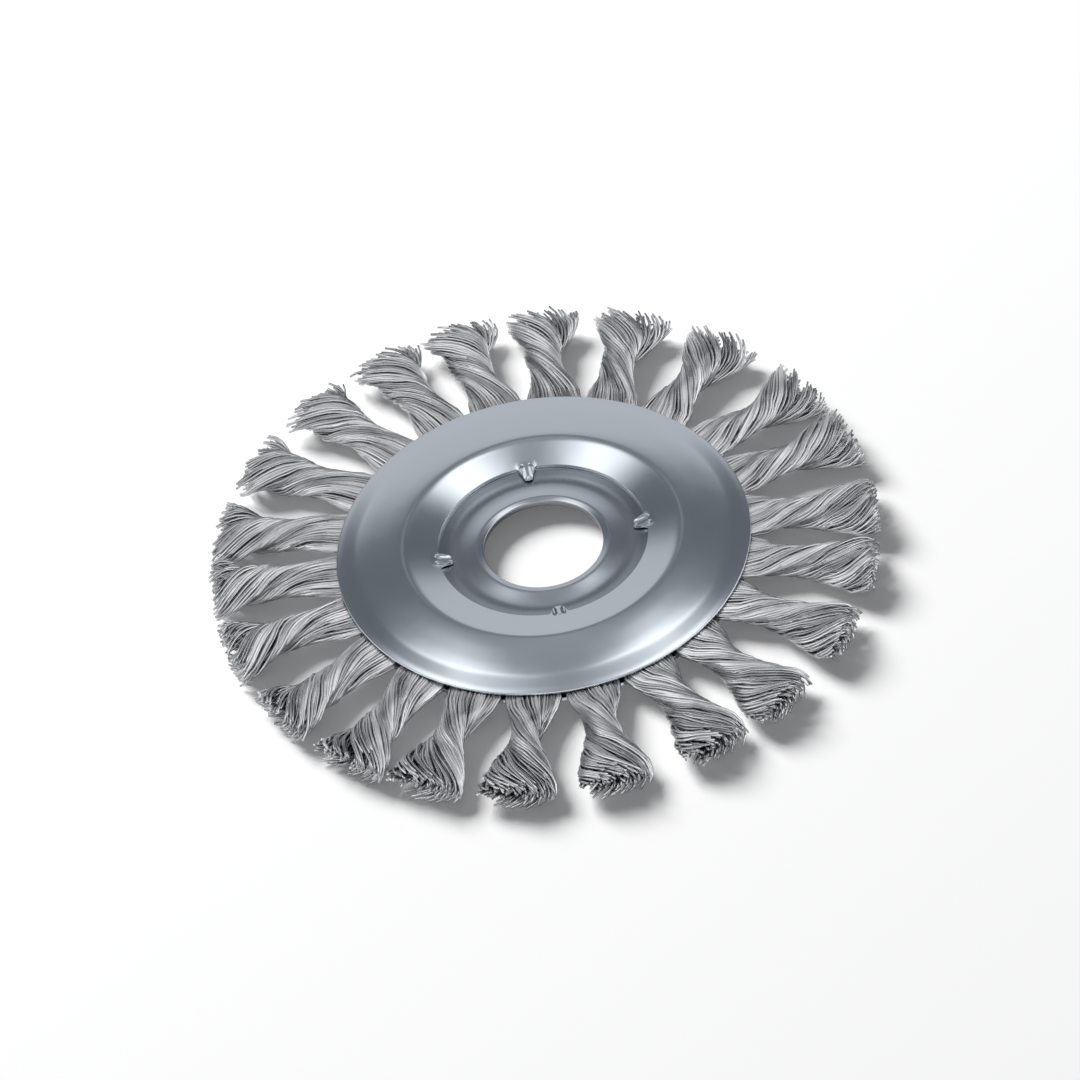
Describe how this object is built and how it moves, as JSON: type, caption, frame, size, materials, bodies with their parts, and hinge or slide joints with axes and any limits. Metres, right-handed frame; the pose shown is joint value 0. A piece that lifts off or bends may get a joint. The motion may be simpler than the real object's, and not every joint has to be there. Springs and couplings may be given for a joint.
{
  "type": "wire wheel brush",
  "caption": "Round twist-knot wire wheel brush for an angle grinder: two pressed steel side plates clamp bundles of steel wire that are twisted into flared knots around a central bore.",
  "frame": {"origin": "middle of the bore, half way through the wheel's thickness", "axes": "+Z along the bore, out of the front plate; +X to the right in the picture; the wheel lies flat on its knots"},
  "size_m": [0.1248, 0.1249, 0.0074],
  "materials": {
    "plate_steel": "pressed sheet steel with a smooth bright zinc coat, bluish grey",
    "hub_steel": "smooth bright zinc coat, slightly darker in the dish",
    "carrier_steel": "plain mild steel",
    "knot_wire": "drawn high-tensile steel wire, cut ends"
  },
  "bodies": {
    "root": {"front_plate": "plate_steel", "back_plate": "plate_steel", "hub": "hub_steel", "carrier_ring": "carrier_steel", "knot_01": "knot_wire", "knot_02": "knot_wire", "knot_03": "knot_wire", "knot_04": "knot_wire", "knot_05": "knot_wire", "knot_06": "knot_wire", "knot_07": "knot_wire", "knot_08": "knot_wire", "knot_09": "knot_wire", "knot_10": "knot_wire", "knot_11": "knot_wire", "knot_12": "knot_wire", "knot_13": "knot_wire", "knot_14": "knot_wire", "knot_15": "knot_wire", "knot_16": "knot_wire", "knot_17": "knot_wire", "knot_18": "knot_wire", "knot_19": "knot_wire", "knot_20": "knot_wire", "knot_21": "knot_wire", "knot_22": "knot_wire"}
  },
  "joints": []
}
